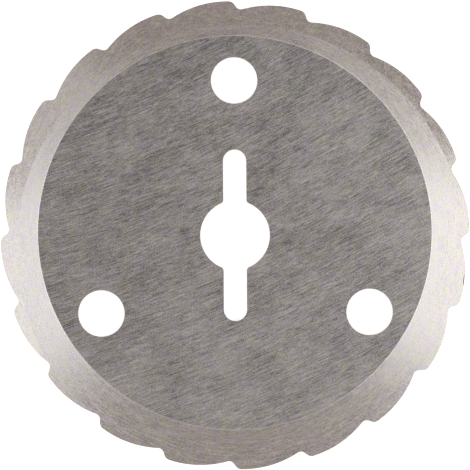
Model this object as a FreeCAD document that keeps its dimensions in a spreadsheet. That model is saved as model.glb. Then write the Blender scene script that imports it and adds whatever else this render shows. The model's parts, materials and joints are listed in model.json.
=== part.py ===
import FreeCAD, Part
import Sketcher
import math
import os

# Toothed round blade of hardened sheet steel for a battery fabric and carpet cutter.
# It lies on its flat back at z = 0 with the ground bevel up and its bore axis on Z.
# The slot runs along Y, and angles are counted anticlockwise from +X.

SIZES = {
    # the sheet
    "steel_thickness": 1.2,
    # the outline: each tooth rises at a steep step and falls back along one arc
    "tooth_count": 20,
    "tip_radius": 25.3,
    "tooth_depth": 0.9,
    "crest_turn": 4.59,
    "step_lean": 36.0,
    "tip_round": 0.8,
    "root_round": 0.65,
    "first_root_angle": 88.2,
    # the bevel, ground on one side in two facets that each run a little off the bore axis
    "edge_land": 0.14,
    "facet_width": 1.14,
    "facet_angle": 18.0,
    "facet_shift_x": 0.15,
    "facet_shift_y": -0.19,
    "bevel_angle": 13.3,
    "bevel_shift_x": -0.02,
    "bevel_shift_y": 0.28,
    # the drive opening: a round bore with a slot across it, its inner corners broken
    "bore_diameter": 7.5,
    "slot_width": 2.5,
    "slot_length": 18.5,
    "corner_round": 0.4,
    # the pin holes
    "pin_hole_count": 3,
    "pin_hole_diameter": 5.0,
    "pin_circle_diameter": 33.4,
}

# The names that a sketch gives to the two ends and the centre of an edge, and to its origin
START, END, CENTRE = 1, 2, 3
ORIGIN = (-1, 1)

BORE_AXIS_POINT = FreeCAD.Vector(0, 0, 0)
UP = FreeCAD.Vector(0, 0, 1)

document = FreeCAD.newDocument("rotary_cutter_blade")

sheet = document.addObject("Spreadsheet::Sheet", "sizes")
for row, (alias, value) in enumerate(SIZES.items(), start=1):
    sheet.set(f"A{row}", alias)
    sheet.set(f"B{row}", str(value))
    sheet.setAlias(f"B{row}", alias)
document.recompute()

blade = document.addObject("PartDesign::Body", "blade")
blade.Label = "blade"


def origin_feature(role):
    """The body's own origin plane or axis with this role."""
    return next(part for part in blade.Origin.OriginFeatures if part.Role == role)


def new_sketch(name, plane):
    """An empty sketch on one of the body's origin planes."""
    sketch = blade.newObject("Sketcher::SketchObject", name)
    sketch.AttachmentSupport = (origin_feature(plane), [""])
    sketch.MapMode = "FlatFace"
    return sketch


def join(sketch, kind, *places):
    """A relation between edges or points of the sketch."""
    sketch.addConstraint(Sketcher.Constraint(kind, *places))


def measure(sketch, name, rule, kind, *places):
    """A dimension of the sketch that follows the sizes by this rule."""
    value = sketch.evalExpression(rule)
    if kind == "Angle":
        value = math.radians(value)
    index = sketch.addConstraint(Sketcher.Constraint(kind, *places, value))
    sketch.renameConstraint(index, name)
    sketch.setExpression(f"Constraints.{name}", rule)


def polar(radius, angle):
    """The point of the plan at this radius and at this angle in radians."""
    return FreeCAD.Vector(radius * math.cos(angle), radius * math.sin(angle), 0)


def short_arc(sketch, centre, first, last):
    """Draws the arc of less than half a turn, and returns its number and its two end names."""
    spoke, other = first - centre, last - centre
    turn_first = math.atan2(spoke.y, spoke.x)
    turn_last = math.atan2(other.y, other.x)
    circle = Part.Circle(centre, UP, spoke.Length)
    if spoke.cross(other).z > 0:
        arc = Part.ArcOfCircle(circle, turn_first, turn_last)
        return sketch.addGeometry(arc), START, END
    arc = Part.ArcOfCircle(circle, turn_last, turn_first)
    return sketch.addGeometry(arc), END, START


def line(sketch, first, last):
    """Draws a straight edge and returns its number."""
    return sketch.addGeometry(Part.LineSegment(first, last))


def circle_sketch(name, diameter_rule):
    """A sketch of one circle on the bore axis in the plan."""
    sketch = new_sketch(name, "XY_Plane")
    radius = sketch.evalExpression(diameter_rule) / 2
    edge = sketch.addGeometry(Part.Circle(BORE_AXIS_POINT, UP, radius))
    join(sketch, "Coincident", edge, CENTRE, *ORIGIN)
    measure(sketch, "across", diameter_rule, "Diameter", edge)
    return sketch


def pad(name, sketch):
    """Gives the sketch the thickness of the sheet, upward from the flat back."""
    feature = blade.newObject("PartDesign::Pad", name)
    feature.Profile = sketch
    feature.setExpression("Length", "sizes.steel_thickness")
    document.recompute()
    return feature


def pierce(name, sketch):
    """Punches the sketch right through the sheet."""
    feature = blade.newObject("PartDesign::Pocket", name)
    feature.Profile = sketch
    feature.Type = "ThroughAll"
    feature.Reversed = True
    document.recompute()
    return feature


def repeat(name, original, count_rule):
    """Repeats a feature evenly round the bore axis."""
    pattern = blade.newObject("PartDesign::PolarPattern", name)
    pattern.Originals = [original]
    pattern.Axis = (origin_feature("Z_Axis"), [""])
    pattern.Angle = 360
    pattern.setExpression("Occurrences", count_rule)
    blade.Tip = pattern
    document.recompute()
    return pattern


def tooth_points():
    """The centres and the joints of one tooth's outline, from its root to the next root.

    The step is a straight face that leans forward from the root. The back is one arc that
    touches the tip circle from inside, at the crest, a set turn after the root. Rounds join
    the two at the tip and at both roots.
    """
    pitch = 2 * math.pi / SIZES["tooth_count"]
    first = math.radians(SIZES["first_root_angle"])
    lean = first + math.radians(SIZES["step_lean"])
    tip, depth = SIZES["tip_radius"], SIZES["tooth_depth"]
    root, hub = tip - depth, tip - 3 * depth
    nose, hollow = SIZES["tip_round"], SIZES["root_round"]

    spot = {}
    spot["root_centre"] = polar(root + hollow, first)
    spot["next_centre"] = polar(root + hollow, first + pitch)
    crest = first + math.radians(SIZES["crest_turn"])
    far, near = root + hollow, (root + hollow) * math.cos(first + pitch - crest)
    back = (tip**2 + far**2 - hollow**2 - 2 * tip * near) / (2 * (tip + hollow - near))
    spot["back_centre"] = polar(tip - back, crest)

    along = polar(1, lean)
    inward = FreeCAD.Vector(-along.y, along.x, 0)
    spot["step_foot"] = spot["root_centre"] + inward * hollow
    start = spot["step_foot"] + inward * nose - spot["back_centre"]
    travel = -start.dot(along) + math.sqrt(start.dot(along) ** 2 - start.dot(start) + (back - nose) ** 2)
    spot["tip_centre"] = spot["back_centre"] + start + along * travel
    spot["step_head"] = spot["tip_centre"] - inward * nose

    to_tip = (spot["tip_centre"] - spot["back_centre"]).normalize()
    to_root = (spot["next_centre"] - spot["back_centre"]).normalize()
    spot["back_head"] = spot["back_centre"] + to_tip * back
    spot["back_foot"] = spot["back_centre"] + to_root * back

    spot["root"], spot["next_root"] = polar(root, first), polar(root, first + pitch)
    spot["hub"], spot["next_hub"] = polar(hub, first), polar(hub, first + pitch)
    return spot


def draw_tooth():
    """One tooth in the plan, with a web that reaches in under the ring of teeth."""
    sketch = new_sketch("tooth_outline", "XY_Plane")
    spot = tooth_points()
    hollow, hollow_root, hollow_foot = short_arc(
        sketch, spot["root_centre"], spot["root"], spot["step_foot"])
    step = line(sketch, spot["step_foot"], spot["step_head"])
    nose, nose_step, nose_back = short_arc(
        sketch, spot["tip_centre"], spot["step_head"], spot["back_head"])
    back, back_nose, back_foot = short_arc(
        sketch, spot["back_centre"], spot["back_head"], spot["back_foot"])
    next_hollow, next_foot, next_root = short_arc(
        sketch, spot["next_centre"], spot["back_foot"], spot["next_root"])
    far_side = line(sketch, spot["next_hub"], spot["next_root"])
    web = line(sketch, spot["next_hub"], spot["hub"])
    near_side = line(sketch, spot["hub"], spot["root"])
    tips = sketch.addGeometry(Part.Circle(BORE_AXIS_POINT, UP, SIZES["tip_radius"]), True)
    crest = sketch.addGeometry(Part.LineSegment(BORE_AXIS_POINT, spot["back_centre"]), True)

    join(sketch, "Tangent", hollow, hollow_foot, step, START)
    join(sketch, "Tangent", step, END, nose, nose_step)
    join(sketch, "Tangent", nose, nose_back, back, back_nose)
    join(sketch, "Tangent", back, back_foot, next_hollow, next_foot)
    join(sketch, "Perpendicular", next_hollow, next_root, far_side, END)
    join(sketch, "Perpendicular", near_side, END, hollow, hollow_root)
    join(sketch, "Coincident", far_side, START, web, START)
    join(sketch, "Coincident", web, END, near_side, START)
    join(sketch, "PointOnObject", *ORIGIN, near_side)
    join(sketch, "PointOnObject", *ORIGIN, far_side)
    join(sketch, "Coincident", tips, CENTRE, *ORIGIN)
    join(sketch, "Tangent", back, tips)
    join(sketch, "Coincident", crest, START, *ORIGIN)
    join(sketch, "Coincident", crest, END, back, CENTRE)

    measure(sketch, "tips", "sizes.tip_radius", "Radius", tips)
    measure(sketch, "hollow", "sizes.root_round", "Radius", hollow)
    measure(sketch, "next_hollow", "sizes.root_round", "Radius", next_hollow)
    measure(sketch, "nose", "sizes.tip_round", "Radius", nose)
    root_rule = "sizes.tip_radius - sizes.tooth_depth"
    measure(sketch, "root", root_rule, "Distance", *ORIGIN, near_side, END)
    measure(sketch, "next_root", root_rule, "Distance", *ORIGIN, far_side, END)
    hub_rule = "sizes.tip_radius - 3 * sizes.tooth_depth"
    measure(sketch, "hub", hub_rule, "Distance", *ORIGIN, near_side, START)
    measure(sketch, "next_hub", hub_rule, "Distance", *ORIGIN, far_side, START)
    measure(sketch, "turn", "sizes.first_root_angle", "Angle", near_side)
    measure(sketch, "next_turn", "sizes.first_root_angle + 360 / sizes.tooth_count", "Angle", far_side)
    measure(sketch, "crest", "sizes.first_root_angle + sizes.crest_turn", "Angle", crest)
    measure(sketch, "lean", "sizes.first_root_angle + sizes.step_lean", "Angle", step)
    return sketch


def grind(name, shift_x, shift_y, edge_rules, angle_rule):
    """Grinds a conical facet round the rim, about an axis that is shifted off the bore axis.

    In section the facet passes through the point whose radius and height edge_rules give,
    and rises inward at the angle until it is clear of the sheet's top face.
    """
    sketch = new_sketch(f"{name}_section", "XZ_Plane")
    sketch.setExpression(".AttachmentOffset.Base.x", shift_x)
    sketch.setExpression(".AttachmentOffset.Base.z", f"-{shift_y}")

    radius, height = (sketch.evalExpression(rule) for rule in edge_rules)
    slope = math.tan(math.radians(sketch.evalExpression(angle_rule)))
    over = sketch.evalExpression("2 * sizes.steel_thickness")
    beyond_rule = "sizes.tip_radius + sizes.tooth_depth"
    beyond = sketch.evalExpression(beyond_rule)
    outer = FreeCAD.Vector(beyond, height - (beyond - radius) * slope, 0)
    inner = FreeCAD.Vector(radius - (over - height) / slope, over, 0)
    corner = FreeCAD.Vector(beyond, over, 0)
    facet = line(sketch, outer, inner)
    top = line(sketch, inner, corner)
    side = line(sketch, corner, outer)
    mark = sketch.addGeometry(Part.Point(FreeCAD.Vector(radius, height, 0)), True)

    join(sketch, "Coincident", facet, END, top, START)
    join(sketch, "Coincident", top, END, side, START)
    join(sketch, "Coincident", side, END, facet, START)
    join(sketch, "Horizontal", top)
    join(sketch, "Vertical", side)
    join(sketch, "PointOnObject", mark, START, facet)
    measure(sketch, "radius", edge_rules[0], "DistanceX", *ORIGIN, mark, START)
    measure(sketch, "height", edge_rules[1], "DistanceY", *ORIGIN, mark, START)
    measure(sketch, "angle", f"180 - {angle_rule}", "Angle", facet)
    measure(sketch, "over", "2 * sizes.steel_thickness", "DistanceY", *ORIGIN, top, START)
    measure(sketch, "beyond", beyond_rule, "DistanceX", *ORIGIN, side, START)

    feature = blade.newObject("PartDesign::Groove", name)
    feature.Profile = sketch
    feature.ReferenceAxis = (sketch, ["V_Axis"])
    feature.Angle = 360
    document.recompute()
    return feature


def draw_slot():
    """The slot through the bore, along Y, with fully round ends."""
    sketch = new_sketch("slot_outline", "XY_Plane")
    half = SIZES["slot_width"] / 2
    reach = SIZES["slot_length"] / 2 - half
    upper = Part.Circle(FreeCAD.Vector(0, reach, 0), UP, half)
    lower = Part.Circle(FreeCAD.Vector(0, -reach, 0), UP, half)
    upper_end = sketch.addGeometry(Part.ArcOfCircle(upper, 0, math.pi))
    lower_end = sketch.addGeometry(Part.ArcOfCircle(lower, math.pi, 2 * math.pi))
    left = line(sketch, FreeCAD.Vector(-half, reach, 0), FreeCAD.Vector(-half, -reach, 0))
    right = line(sketch, FreeCAD.Vector(half, -reach, 0), FreeCAD.Vector(half, reach, 0))
    join(sketch, "Tangent", upper_end, END, left, START)
    join(sketch, "Tangent", left, END, lower_end, START)
    join(sketch, "Tangent", lower_end, END, right, START)
    join(sketch, "Tangent", right, END, upper_end, START)
    join(sketch, "Vertical", left)
    join(sketch, "PointOnObject", upper_end, CENTRE, -2)
    join(sketch, "Symmetric", upper_end, CENTRE, lower_end, CENTRE, *ORIGIN)
    measure(sketch, "half_width", "sizes.slot_width / 2", "Radius", upper_end)
    reach_rule = "(sizes.slot_length - sizes.slot_width) / 2"
    measure(sketch, "reach", reach_rule, "DistanceY", *ORIGIN, upper_end, CENTRE)
    return sketch


def draw_pin_hole():
    """One pin hole, on the slot's line through the bore."""
    sketch = new_sketch("pin_hole_outline", "XY_Plane")
    place = FreeCAD.Vector(0, SIZES["pin_circle_diameter"] / 2, 0)
    edge = sketch.addGeometry(Part.Circle(place, UP, SIZES["pin_hole_diameter"] / 2))
    join(sketch, "PointOnObject", edge, CENTRE, -2)
    measure(sketch, "across", "sizes.pin_hole_diameter", "Diameter", edge)
    measure(sketch, "out", "sizes.pin_circle_diameter / 2", "DistanceY", *ORIGIN, edge, CENTRE)
    return sketch


def break_corners(opening):
    """Rounds the four upright corners where the slot runs out into the bore."""
    half = SIZES["slot_width"] / 2
    height = math.sqrt((SIZES["bore_diameter"] / 2) ** 2 - half**2)
    corners = []
    for number, edge in enumerate(opening.Shape.Edges, start=1):
        middle = edge.CenterOfMass
        upright = edge.BoundBox.DiagonalLength - edge.BoundBox.ZLength < 1e-6
        if upright and abs(abs(middle.x) - half) < 1e-4 and abs(abs(middle.y) - height) < 1e-4:
            corners.append(f"Edge{number}")
    feature = blade.newObject("PartDesign::Fillet", "broken_corners")
    feature.Base = (opening, corners)
    feature.setExpression("Radius", "sizes.corner_round")
    document.recompute()
    return feature


# The sheet is cut to the toothed outline first
pad("blank", circle_sketch("blank_outline", "2 * sizes.tip_radius - 4 * sizes.tooth_depth"))
tooth = pad("tooth", draw_tooth())
repeat("teeth", tooth, "sizes.tooth_count")

# The facet starts from the thin land at the tips, and the bevel from the facet's inner edge
facet_height = "sizes.edge_land + sizes.facet_width * tan(sizes.facet_angle)"
grind("bevel", "sizes.bevel_shift_x", "sizes.bevel_shift_y",
      ("sizes.tip_radius - sizes.facet_width", facet_height), "sizes.bevel_angle")
grind("facet", "sizes.facet_shift_x", "sizes.facet_shift_y",
      ("sizes.tip_radius", "sizes.edge_land"), "sizes.facet_angle")

# The drive opening and the pin holes go right through
pierce("bore", circle_sketch("bore_outline", "sizes.bore_diameter"))
break_corners(pierce("slot", draw_slot()))
pin_hole = pierce("pin_hole", draw_pin_hole())
repeat("pin_holes", pin_hole, "sizes.pin_hole_count")

for item in document.Objects:
    if "Invalid" in item.State or "Error" in item.State:
        raise RuntimeError(f"{item.Name} did not build: {item.State}")
if blade.Shape.isNull() or not blade.Shape.isValid() or len(blade.Shape.Solids) != 1:
    raise RuntimeError("the blade is not one valid solid")

os.makedirs("parts", exist_ok=True)
blade.Shape.exportStep(os.path.join("parts", f"{blade.Label}.step"))
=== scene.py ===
import json
import math

import bmesh
import bpy
import numpy as np
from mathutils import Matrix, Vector


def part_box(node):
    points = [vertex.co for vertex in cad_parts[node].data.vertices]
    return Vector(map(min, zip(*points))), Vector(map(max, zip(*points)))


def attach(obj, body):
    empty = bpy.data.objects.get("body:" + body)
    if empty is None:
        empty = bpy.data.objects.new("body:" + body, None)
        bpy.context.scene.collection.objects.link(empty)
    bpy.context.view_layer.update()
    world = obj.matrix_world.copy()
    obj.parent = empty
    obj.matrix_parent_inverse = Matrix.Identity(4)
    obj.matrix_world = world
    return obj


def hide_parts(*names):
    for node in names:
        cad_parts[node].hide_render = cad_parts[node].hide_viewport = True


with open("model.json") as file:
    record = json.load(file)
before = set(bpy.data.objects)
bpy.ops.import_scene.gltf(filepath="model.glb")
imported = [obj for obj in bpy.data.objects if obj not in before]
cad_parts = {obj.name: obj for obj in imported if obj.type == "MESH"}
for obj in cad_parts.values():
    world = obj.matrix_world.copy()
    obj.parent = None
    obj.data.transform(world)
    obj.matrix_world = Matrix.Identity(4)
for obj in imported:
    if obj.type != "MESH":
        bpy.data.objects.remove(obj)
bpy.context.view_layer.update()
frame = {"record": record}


# The blade

# The real blade is one disc of hardened carbon steel sheet, 1.2 mm thick and left bare. It
# is cut out with twenty teeth, a slotted bore and three pin holes, its two sides are ground
# flat, and its rim is ground from one side. All of that is one piece, so it is one mesh.

MM = 0.001
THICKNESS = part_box("blade")[1].z / MM
TOOTH_COUNT = 20
TIP_RADIUS, TOOTH_DEPTH = 25.3, 0.9
TIP_ROUND, ROOT_ROUND = 0.8, 0.65
FIRST_ROOT, CREST_TURN, STEP_LEAN = (math.radians(turn) for turn in (88.2, 4.59, 36.0))
# How many points draw each stretch of a tooth, from one root to the next
ROOT_POINTS, STEP_POINTS, TIP_POINTS, BACK_POINTS, FOOT_POINTS = 8, 4, 10, 26, 6


def polar(radius, angle):
    """The point of the plan at this radius and angle."""
    return Vector((radius * math.cos(angle), radius * math.sin(angle)))


def arc(centre, first, last, count, hollow=False):
    """Points along the shorter arc between two points, each with its way out of the steel."""
    start = first - centre
    swing = start.angle_signed(last - centre)
    places = []
    for step in range(count):
        angle = math.atan2(start.y, start.x) - swing * step / count
        spoke = polar(1, angle)
        places.append((centre + spoke * start.length, -spoke if hollow else spoke))
    return places


def tooth_outline():
    """The plan of one tooth from its root to the next root, as points with normals.

    It rises at a steep step, rounds the tip and falls back along one long arc.
    """
    pitch = math.tau / TOOTH_COUNT
    root = TIP_RADIUS - TOOTH_DEPTH
    low_centre = polar(root + ROOT_ROUND, FIRST_ROOT)
    next_centre = polar(root + ROOT_ROUND, FIRST_ROOT + pitch)
    crest = polar(1, FIRST_ROOT + CREST_TURN)
    near = next_centre.dot(crest)
    back_radius = (TIP_RADIUS**2 + next_centre.length**2 - ROOT_ROUND**2 - 2 * TIP_RADIUS * near)
    back_radius /= 2 * (TIP_RADIUS + ROOT_ROUND - near)
    back_centre = crest * (TIP_RADIUS - back_radius)

    along = polar(1, FIRST_ROOT + STEP_LEAN)
    into = Vector((-along.y, along.x))
    step_foot = low_centre + into * ROOT_ROUND
    start = step_foot + into * TIP_ROUND - back_centre
    reach = back_radius - TIP_ROUND
    travel = -start.dot(along) + math.sqrt(start.dot(along) ** 2 - start.dot(start) + reach**2)
    tip_centre = back_centre + start + along * travel
    step_head = tip_centre - into * TIP_ROUND
    back_head = back_centre + (tip_centre - back_centre).normalized() * back_radius
    back_foot = back_centre + (next_centre - back_centre).normalized() * back_radius

    next_root = polar(root, FIRST_ROOT + pitch)
    places = arc(low_centre, polar(root, FIRST_ROOT), step_foot, ROOT_POINTS, hollow=True)
    places += [(step_foot.lerp(step_head, part / STEP_POINTS), -into) for part in range(STEP_POINTS)]
    places += arc(tip_centre, step_head, back_head, TIP_POINTS)
    places += arc(back_centre, back_head, back_foot, BACK_POINTS)
    places += arc(next_centre, back_foot, next_root, FOOT_POINTS, hollow=True)
    return places


one_tooth = np.array([[*point, *normal] for point, normal in tooth_outline()])
rim_points, rim_normals = [], []
for number in range(TOOTH_COUNT):
    turn = math.tau * number / TOOTH_COUNT
    spin = np.array([[math.cos(turn), math.sin(turn)], [-math.sin(turn), math.cos(turn)]])
    rim_points.append(one_tooth[:, :2] @ spin)
    rim_normals.append(one_tooth[:, 2:] @ spin)
rim_points = np.concatenate(rim_points)
rim_normals = np.concatenate(rim_normals)


# The rim is ground from one side in two cones, which each run a little off the bore axis:
# a broad bevel, and a steeper facet at the teeth that runs out at one side. The arris is
# where the bevel meets the flat. The last pass of the stone breaks every edge, so each is a
# narrow round, and one tooth has a small chip. The mesh is a set of rings from the back
# round the rim to the face, and each ring holds its own normals, so rounds shade as rounds.

EDGE_LAND, FACET_WIDTH = 0.14, 1.14
FACET_SLOPE, BEVEL_SLOPE = math.radians(18.0), math.radians(13.3)
FACET_AXIS, BEVEL_AXIS = np.array([0.15, -0.19]), np.array([-0.02, 0.28])
EDGE_BREAK, ARRIS_ROUND = 0.02, 0.03
CHIP_TURN, CHIP_SWING = math.radians(-11.4), math.radians(1.5)
CHIP_BITE, CHIP_FOOT = 0.1, 0.04

BORE_RADIUS = frame["record"]["mounts"][0]["dims"]["r_mm"]
SLOT_WIDTH, SLOT_LENGTH, CORNER_ROUND = 2.5, 18.5, 0.4
PIN_HOLES = frame["record"]["mounts"][2]["dims"]
HOLE_POINTS = 168
# How many points draw a quarter of the keyed bore: its arc, corner, slot side and slot end
BORE_POINTS, CORNER_POINTS, SIDE_POINTS, END_POINTS = 24, 8, 4, 16

# The steel's surfaces, in the order in which their materials are added to the mesh
FLAT, BEVEL, FACET, ARRIS, WALL, CHIP = range(6)
steel = bmesh.new()
vertex_normals = []


def add_ring(points, heights, normals):
    """A closed row of vertices. A plan normal is made level, and a number stands upright."""
    heights = np.broadcast_to(heights, len(points))
    if np.isscalar(normals):
        normals = np.tile([0.0, 0.0, normals], (len(points), 1))
    elif normals.shape[1] == 2:
        normals = np.column_stack([normals, np.zeros(len(points))])
    vertex_normals.extend(normals)
    return [steel.verts.new((*point * MM, height * MM)) for point, height in zip(points, heights)]


def skin(rings, surface):
    """Faces between each ring and the next one."""
    for lower, upper in zip(rings, rings[1:]):
        for i in range(len(lower)):
            corners = (lower[i - 1], lower[i], upper[i], upper[i - 1])
            steel.faces.new(corners).material_index = surface


def fill(rings):
    """A flat face inside the first ring, open at the others."""
    border = [steel.edges.get((ring[i - 1], ring[i])) for ring in rings for i in range(len(ring))]
    made = bmesh.ops.triangle_fill(steel, edges=border, use_beauty=True)
    for item in made["geom"]:
        if isinstance(item, bmesh.types.BMFace):
            item.material_index = FLAT


rim_radius = np.linalg.norm(rim_points, axis=1)
away = rim_points / rim_radius[:, None]
facet_fall, bevel_fall = math.tan(FACET_SLOPE), math.tan(BEVEL_SLOPE)
facet_top = EDGE_LAND + FACET_WIDTH * facet_fall
facet_reach = TIP_RADIUS + away @ FACET_AXIS
bevel_reach = TIP_RADIUS - FACET_WIDTH + away @ BEVEL_AXIS
middle = EDGE_LAND - facet_top + facet_reach * facet_fall - bevel_reach * bevel_fall
middle /= facet_fall - bevel_fall
inner = bevel_reach - (THICKNESS - facet_top) / bevel_fall


def on_cone(reach, height, slope, axis, radius):
    """Points, heights and normals where the ring at this radius lies on a ground cone."""
    points = away * radius[:, None]
    heights = height + (reach - radius) * math.tan(slope)
    outward = points - axis
    outward /= np.linalg.norm(outward, axis=1)[:, None]
    normals = np.column_stack([outward * math.sin(slope), np.full(len(points), math.cos(slope))])
    return points, heights, normals


facet = (facet_reach, EDGE_LAND, FACET_SLOPE, FACET_AXIS)
bevel = (bevel_reach, facet_top, BEVEL_SLOPE, BEVEL_AXIS)


def on_lower_cone(radius):
    """The same on the lower of the two cones, which is the bevel where the facet runs out."""
    points, facet_height, facet_normals = on_cone(*facet, radius)
    points, bevel_height, bevel_normals = on_cone(*bevel, radius)
    in_facet = facet_height < bevel_height
    normals = np.where(in_facet[:, None], facet_normals, bevel_normals)
    return points, np.where(in_facet, facet_height, bevel_height), normals


# The chip takes the upper part of the land away over a short stretch of one tooth
land_top = on_lower_cone(rim_radius)[1]
swing = np.abs(np.arctan2(rim_points[:, 1], rim_points[:, 0]) - CHIP_TURN)
bite = CHIP_BITE * np.sqrt(np.clip(1 - swing / CHIP_SWING, 0, 1))
wall_top = np.where(bite > 0, CHIP_FOOT, land_top - EDGE_BREAK)

# The facet meets the bevel at the seam, which stays inside the edge
edge_radius = rim_radius - EDGE_BREAK - bite
seam = np.minimum(middle, edge_radius - 2 * ARRIS_ROUND)

back_inner = add_ring(away * seam[:, None], 0, -1.0)
back_rim = add_ring(rim_points - rim_normals * EDGE_BREAK, 0, -1.0)
land_low = add_ring(rim_points, EDGE_BREAK, rim_normals)
land_high = add_ring(rim_points, wall_top, rim_normals)
facet_edge = add_ring(*on_lower_cone(edge_radius))
facet_inner = add_ring(*on_lower_cone(seam + ARRIS_ROUND))
bevel_outer = add_ring(*on_cone(*bevel, seam - ARRIS_ROUND))
bevel_inner = add_ring(*on_cone(*bevel, inner + ARRIS_ROUND))
face_rim = add_ring(away * (inner - ARRIS_ROUND)[:, None], THICKNESS, 1.0)
skin([back_inner, back_rim], FLAT)
skin([back_rim, land_low, land_high, facet_edge], WALL)
skin([facet_edge, facet_inner, bevel_outer], FACET)
skin([bevel_outer, bevel_inner], BEVEL)
skin([bevel_inner, face_rim], ARRIS)
for i in np.flatnonzero(bite):
    corners = (land_high[i - 1], land_high[i], facet_edge[i], facet_edge[i - 1])
    steel.faces.get(corners).material_index = CHIP


def round_hole(centre, radius):
    """The plan of a round hole, as points with normals that look into the hole."""
    turns = np.arange(HOLE_POINTS) * math.tau / HOLE_POINTS
    spokes = np.column_stack([np.cos(turns), np.sin(turns)])
    return np.array(centre) + spokes * radius, -spokes


def keyed_bore():
    """The plan of the bore with the slot across it, its four inner corners rounded."""
    half, run = SLOT_WIDTH / 2, (SLOT_LENGTH - SLOT_WIDTH) / 2
    side = half + CORNER_ROUND
    height = math.sqrt((BORE_RADIUS + CORNER_ROUND) ** 2 - side**2)
    corner = Vector((side, height))
    on_bore = corner.normalized() * BORE_RADIUS
    on_slot = Vector((half, height))
    slot_end, slot_top = Vector((half, run)), Vector((0, run + half))
    quarter = arc(Vector((0, 0)), Vector((BORE_RADIUS, 0)), on_bore, BORE_POINTS, hollow=True)
    quarter += arc(corner, on_bore, on_slot, CORNER_POINTS)
    for part in range(SIDE_POINTS):
        quarter.append((on_slot.lerp(slot_end, part / SIDE_POINTS), Vector((-1, 0))))
    quarter += arc(Vector((0, run)), slot_end, slot_top, END_POINTS, hollow=True)
    flip = Vector((-1, 1))
    half_turn = quarter + [(slot_top, Vector((0, -1)))]
    half_turn += [(point * flip, normal * flip) for point, normal in quarter[:0:-1]]
    whole = half_turn + [(-point, -normal) for point, normal in half_turn]
    points, normals = zip(*whole)
    return np.array(points), np.array(normals)


openings = [keyed_bore()]
for number in range(PIN_HOLES["count"]):
    turn = math.pi / 2 + math.tau * number / PIN_HOLES["count"]
    openings.append(round_hole(polar(PIN_HOLES["pcd_mm"] / 2, turn), PIN_HOLES["hole_r_mm"]))

back_rings, face_rings = [back_inner], [face_rim]
for points, normals in openings:
    back_ring = add_ring(points - normals * EDGE_BREAK, 0, -1.0)
    wall_low = add_ring(points, EDGE_BREAK, normals)
    wall_high = add_ring(points, THICKNESS - EDGE_BREAK, normals)
    face_ring = add_ring(points - normals * EDGE_BREAK, THICKNESS, 1.0)
    skin([back_ring, wall_low, wall_high, face_ring], WALL)
    back_rings.append(back_ring)
    face_rings.append(face_ring)
fill(back_rings)
fill(face_rings)
bmesh.ops.recalc_face_normals(steel, faces=steel.faces)

blade_mesh = bpy.data.meshes.new("toothed_blade")
steel.to_mesh(blade_mesh)
steel.free()
blade_mesh.polygons.foreach_set("use_smooth", [True] * len(blade_mesh.polygons))
blade_mesh.normals_split_custom_set_from_vertices(vertex_normals)
blade = bpy.data.objects.new("toothed_blade", blade_mesh)
bpy.context.collection.objects.link(blade)


# A cup wheel has ground both flat sides, so its lines are wide shallow arcs. The bevel and
# the facet were ground with the blade turning, so their lines are rings.

WHEEL_CENTRE = (-76.0, 173.0, 0.0)
BORE_CENTRE = (0.0, 0.0, 0.0)
# Each layer of marks: its size across the lines and along them in millimetres, and its share
# of the tone. A 60 grit stone leaves lines 0.05 mm apart, finer than the render shows. The
# finest lines are drawn a little coarser than that, and the wide layers are where the stone
# bit more or less.
FACE_MARKS = ((0.11, 0.12, 0.76), (0.07, 0.9, 0.54), (0.07, 3.0, 0.62), (0.6, 1.2, 0.15),
              (4.0, 6.0, 0.28))
BEVEL_MARKS = ((0.11, 0.12, 0.8), (0.08, 0.7, 0.55), (0.08, 3.0, 0.45), (0.6, 3.0, 0.24))
FACET_MARKS = ((0.11, 0.14, 0.7), (0.09, 0.7, 0.52), (0.5, 1.5, 0.22))
MARK_DETAIL, MARK_FADE, MARK_DEPTH, MARK_STRENGTH = 2.0, 0.6, 0.01, 0.2
# How far the marks stretch the gloss across themselves
GLOSS_STRETCH = 0.6
# A thin film tints bare steel faintly, in patches of about a millimetre
FILM_PATCH, FILM_COLOURS = 0.9, ("FFFFF1", "FFF8FF")
# The part of a noise that is spread over the whole range between dark and light
NOISE_LOW, NOISE_HIGH = 0.3, 0.7


def linear(hex_colour):
    """The linear colour, with alpha, of an sRGB hex value."""
    parts = [int(hex_colour[i:i + 2], 16) / 255 for i in (0, 2, 4)]
    return [c / 12.92 if c <= 0.04045 else ((c + 0.055) / 1.055) ** 2.4 for c in parts] + [1.0]


def add_node(tree, kind, inputs=None, **settings):
    """Adds a node. Each of its inputs takes a value, or a link from another node's output."""
    made = tree.nodes.new("ShaderNode" + kind)
    for name, value in settings.items():
        setattr(made, name, value)
    for socket, value in (inputs or {}).items():
        if isinstance(value, bpy.types.NodeSocket):
            tree.links.new(value, made.inputs[socket])
        else:
            made.inputs[socket].default_value = value
    return made


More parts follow.
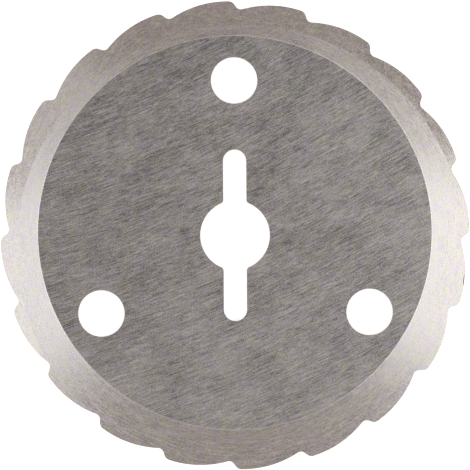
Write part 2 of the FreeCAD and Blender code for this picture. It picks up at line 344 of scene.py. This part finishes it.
def ground_steel(name, centre, marks, dark, light, roughness, scatter, painted_light_gradient=0.0):
    """Steel with grinding marks on circles about the centre, all measured in millimetres.

    Scatter is how much rougher than the mean the lightest marks are, and how much smoother
    the darkest. The painted light gradient is how much lighter the tone is painted on the way
    out to the blade's far side, a painted gradient of light and shade. Inputs 6 and 7 of a
    colour mix are its two colours.
    """
    material = bpy.data.materials.new(name)
    material.use_nodes = True
    tree = material.node_tree
    surface = tree.nodes["Principled BSDF"]
    place = add_node(tree, "TexCoord").outputs["Object"]
    in_mm = add_node(tree, "VectorMath", {0: place, 1: (1 / MM,) * 3}, operation="MULTIPLY")
    spoke = add_node(tree, "VectorMath", {0: in_mm.outputs[0], 1: centre}, operation="SUBTRACT")
    parts = add_node(tree, "SeparateXYZ", {0: spoke.outputs[0]}).outputs
    across = add_node(tree, "VectorMath", {0: spoke.outputs[0]}, operation="LENGTH")
    turn = add_node(tree, "Math", {0: parts["Y"], 1: parts["X"]}, operation="ARCTAN2")
    turn_radius = math.hypot(centre[0], centre[1]) or TIP_RADIUS

    # The tone is painted lighter on the way out from the wheel centre, a painted gradient of light
    # and shade, and every layer adds light and dark
    tone = add_node(tree, "MapRange", {
        0: across.outputs["Value"], "From Min": turn_radius - TIP_RADIUS,
        "From Max": turn_radius + TIP_RADIUS, "To Min": 0.5 - painted_light_gradient, "To Max": 0.5 + painted_light_gradient})
    for width, length, share in marks:
        step_out = add_node(tree, "Math", {0: across.outputs["Value"], 1: 1 / width},
                            operation="MULTIPLY")
        step_round = add_node(tree, "Math", {0: turn.outputs[0], 1: turn_radius / length},
                              operation="MULTIPLY")
        spot = add_node(tree, "CombineXYZ", {
            "X": step_out.outputs[0], "Y": step_round.outputs[0], "Z": parts["Z"]})
        noise = add_node(tree, "TexNoise", {"Vector": spot.outputs[0], "Scale": 1.0,
                                            "Detail": MARK_DETAIL, "Roughness": MARK_FADE})
        shift = add_node(tree, "Math", {0: noise.outputs["Fac"], 1: 0.5}, operation="SUBTRACT")
        tone = add_node(tree, "Math", {0: shift.outputs[0], 1: share, 2: tone.outputs[0]},
                        operation="MULTIPLY_ADD")
    spread = add_node(tree, "MapRange", {0: tone.outputs[0], "From Min": NOISE_LOW,
                                         "From Max": NOISE_HIGH})
    colour = add_node(tree, "Mix", {0: spread.outputs[0], 6: linear(dark), 7: linear(light)},
                      data_type="RGBA")

    film = add_node(tree, "TexNoise", {"Vector": in_mm.outputs[0], "Scale": 1 / FILM_PATCH,
                                       "Detail": 1.0})
    film = add_node(tree, "MapRange", {0: film.outputs["Fac"], "From Min": NOISE_LOW,
                                       "From Max": NOISE_HIGH})
    tint = add_node(tree, "Mix", {0: film.outputs[0], 6: linear(FILM_COLOURS[0]),
                                  7: linear(FILM_COLOURS[1])}, data_type="RGBA")
    tinted = add_node(tree, "Mix", {0: 1.0, 6: colour.outputs[2], 7: tint.outputs[2]},
                      data_type="RGBA", blend_type="MULTIPLY")

    gloss = add_node(tree, "MapRange", {0: tone.outputs[0], "To Min": roughness - scatter,
                                        "To Max": roughness + scatter})
    bump = add_node(tree, "Bump", {"Height": tone.outputs[0], "Strength": MARK_STRENGTH,
                                   "Distance": MARK_DEPTH * MM})
    for socket, value in {
            "Base Color": tinted.outputs[2], "Roughness": gloss.outputs[0],
            "Normal": bump.outputs[0], "Tangent": spoke.outputs[0]}.items():
        tree.links.new(value, surface.inputs[socket])
    surface.inputs["Metallic"].default_value = 1.0
    surface.inputs["Anisotropic"].default_value = GLOSS_STRETCH
    return material


# The stone leaves a satin grey with short, almost straight streaks
# Its tone is painted a little lighter towards the lower right, a painted gradient of light and shade
blade_mesh.materials.append(ground_steel(
    "surface_ground_steel", WHEEL_CENTRE, FACE_MARKS, "757473", "E0DFDE", 0.36, -0.06, 0.04))
# The finer stone of the bevel leaves a smooth grey, bright where it faces a lamp. Its light
# marks are the rougher ones, so they show in the grey parts and fade in the bright ones
blade_mesh.materials.append(ground_steel(
    "bevel_ground_steel", BORE_CENTRE, BEVEL_MARKS, "ABA8A6", "E1DDDA", 0.3, 0.22))
# The facet at the teeth is left from a coarser stone and looks browner, with the same fading
blade_mesh.materials.append(ground_steel(
    "facet_ground_steel", BORE_CENTRE, FACET_MARKS, "A8A4A1", "E1DCD8", 0.27, 0.2))
# The narrow arris is a real round, and its near-white colour is a painted highlight, so it shows as
# a bright line
blade_mesh.materials.append(ground_steel(
    "arris_painted_highlight", BORE_CENTRE, BEVEL_MARKS, "E4E2E0", "FBFAF8", 0.3, -0.06))
# The land and the walls of the openings are as they were cut, duller than the ground faces
blade_mesh.materials.append(ground_steel(
    "cut_steel_edge", BORE_CENTRE, BEVEL_MARKS, "908D8B", "C8C5C3", 0.4, -0.06))
# The break in the chipped tooth is rough and dark
blade_mesh.materials.append(ground_steel(
    "broken_steel", BORE_CENTRE, FACET_MARKS, "4E4845", "7A736F", 0.55, -0.06))

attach(blade, "root")
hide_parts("blade")


# The floor

# A plain white table. It shows as white to the camera and in the steel, and it still takes
# light, so the thin blade's soft shadow stays on it.

FLOOR_RADIUS, FLOOR_GAP = 1.5, 0.01 * MM
TABLE_GLOW = 0.65

floor_mesh = bpy.data.meshes.new("floor")
table = bmesh.new()
bmesh.ops.create_circle(table, cap_ends=True, segments=96, radius=FLOOR_RADIUS)
table.to_mesh(floor_mesh)
table.free()
floor = bpy.data.objects.new("floor", floor_mesh)
floor.location.z = -FLOOR_GAP
bpy.context.collection.objects.link(floor)

table_white = bpy.data.materials.new("matt_white_table")
table_white.use_nodes = True
tree = table_white.node_tree
tree.nodes.clear()
paint = add_node(tree, "BsdfDiffuse", {"Color": linear("F4F4F2")})
path = add_node(tree, "LightPath").outputs
seen = add_node(tree, "Math", {0: path["Is Camera Ray"], 1: path["Is Glossy Ray"]}, operation="ADD")
seen = add_node(tree, "Math", {0: seen.outputs[0], 1: path["Is Transmission Ray"]}, operation="ADD")
level = add_node(tree, "Math", {0: seen.outputs[0], 1: TABLE_GLOW}, operation="MULTIPLY")
glow = add_node(tree, "Emission", {"Color": linear("FEFEFC"), "Strength": level.outputs[0]})
both = add_node(tree, "AddShader", {0: paint.outputs[0], 1: glow.outputs[0]})
add_node(tree, "OutputMaterial", {"Surface": both.outputs[0]})
floor_mesh.materials.append(table_white)


# The light

# Two large soft lamps stand left and right of the blade, so the bevel is bright on both
# sides and the flat face, which looks straight up past them, stays a middle grey. Smaller
# ones carry the light on round the bevel, and the light from the left is a little cooler.

LAMP_DISTANCE = 0.6
COOL_LIGHT, COOLER_LIGHT = "F6FBFF", "F1F8FF"


def soft_lamp(name, azimuth, zenith, width, height, radiance, colour=COOL_LIGHT):
    """A soft rectangular lamp that looks at the blade from this azimuth and zenith angle.

    Angles are in degrees, width and height in metres.
    """
    data = bpy.data.lights.new(name, "AREA")
    data.shape = "RECTANGLE"
    data.size, data.size_y = width, height
    data.energy = radiance * math.pi * width * height
    data.color = linear(colour)[:3]
    lamp = bpy.data.objects.new(name, data)
    side = polar(math.sin(math.radians(zenith)), math.radians(azimuth))
    way = Vector((side.x, side.y, math.cos(math.radians(zenith))))
    lamp.location = way * LAMP_DISTANCE
    lamp.rotation_euler = way.to_track_quat("Z", "Y").to_euler()
    bpy.context.collection.objects.link(lamp)


soft_lamp("right_lamp", 351.5, 32, 0.34, 0.38, 1.51)
soft_lamp("left_lamp", 190.5, 33, 0.3, 0.38, 1.31, COOLER_LIGHT)
soft_lamp("right_fill_lamp", 46, 20, 0.16, 0.12, 1.35)
soft_lamp("left_fill_lamp", 147, 34, 0.22, 0.24, 0.54, COOLER_LIGHT)
soft_lamp("near_fill_lamp", 218, 42, 0.16, 0.16, 0.61, COOLER_LIGHT)
soft_lamp("far_fill_lamp", 16, 46, 0.12, 0.14, 0.4)
soft_lamp("front_lamp", 272, 28, 0.36, 0.2, 0.05)

# The room is white at the table's level and turns grey higher up. Straight overhead, where
# the camera hangs, it is darker still. Places are sines of the angle above the table
WHITE_END, GREY_START, GREY_LEVEL = 0.2, 0.5, 0.445
OVERHEAD_EDGE, OVERHEAD_FULL, OVERHEAD_LEVEL = 0.92, 0.99, 0.8

world = bpy.data.worlds.new("studio")
bpy.context.scene.world = world
world.use_nodes = True
tree = world.node_tree
tree.nodes.clear()
way = add_node(tree, "TexCoord").outputs["Generated"]
up = add_node(tree, "SeparateXYZ", {0: way}).outputs["Z"]
level = add_node(tree, "MapRange", {
    0: up, "From Min": WHITE_END, "From Max": GREY_START, "To Min": 1.0,
    "To Max": GREY_LEVEL}, interpolation_type="SMOOTHSTEP")
shade = add_node(tree, "MapRange", {
    0: up, "From Min": OVERHEAD_EDGE, "From Max": OVERHEAD_FULL, "To Min": 1.0,
    "To Max": OVERHEAD_LEVEL}, interpolation_type="SMOOTHSTEP")
level = add_node(tree, "Math", {0: level.outputs[0], 1: shade.outputs[0]}, operation="MULTIPLY")
sky = add_node(tree, "Background", {"Color": linear("FFF6F4"), "Strength": level.outputs[0]})
add_node(tree, "OutputWorld", {"Surface": sky.outputs[0]})


# The camera

# It looks straight down through a long lens. In the photograph the bore axis is at pixel
# (235.05, 235.25), a pixel is 0.1078 mm, and the blade is turned 0.35 degrees.

PHOTO_PIXELS, PIXEL = 470, 0.1078 * MM
AXIS_PIXEL = Vector((235.05, 235.25))
CAMERA_HEIGHT, ROLL = 0.6, math.radians(-0.35)

camera_data = bpy.data.cameras.new("camera")
camera = bpy.data.objects.new("camera", camera_data)
offset = Vector((PHOTO_PIXELS / 2 - AXIS_PIXEL.x, AXIS_PIXEL.y - PHOTO_PIXELS / 2)) * PIXEL
camera.location = (offset.x, offset.y, CAMERA_HEIGHT)
camera.rotation_euler = (0, 0, ROLL)
reach = CAMERA_HEIGHT - THICKNESS * MM
camera_data.lens = camera_data.sensor_width * reach / (PHOTO_PIXELS * PIXEL)
camera_data.clip_start, camera_data.clip_end = 0.01, 10
bpy.context.collection.objects.link(camera)
bpy.context.scene.camera = camera

bpy.context.scene.view_settings.view_transform = "Standard"
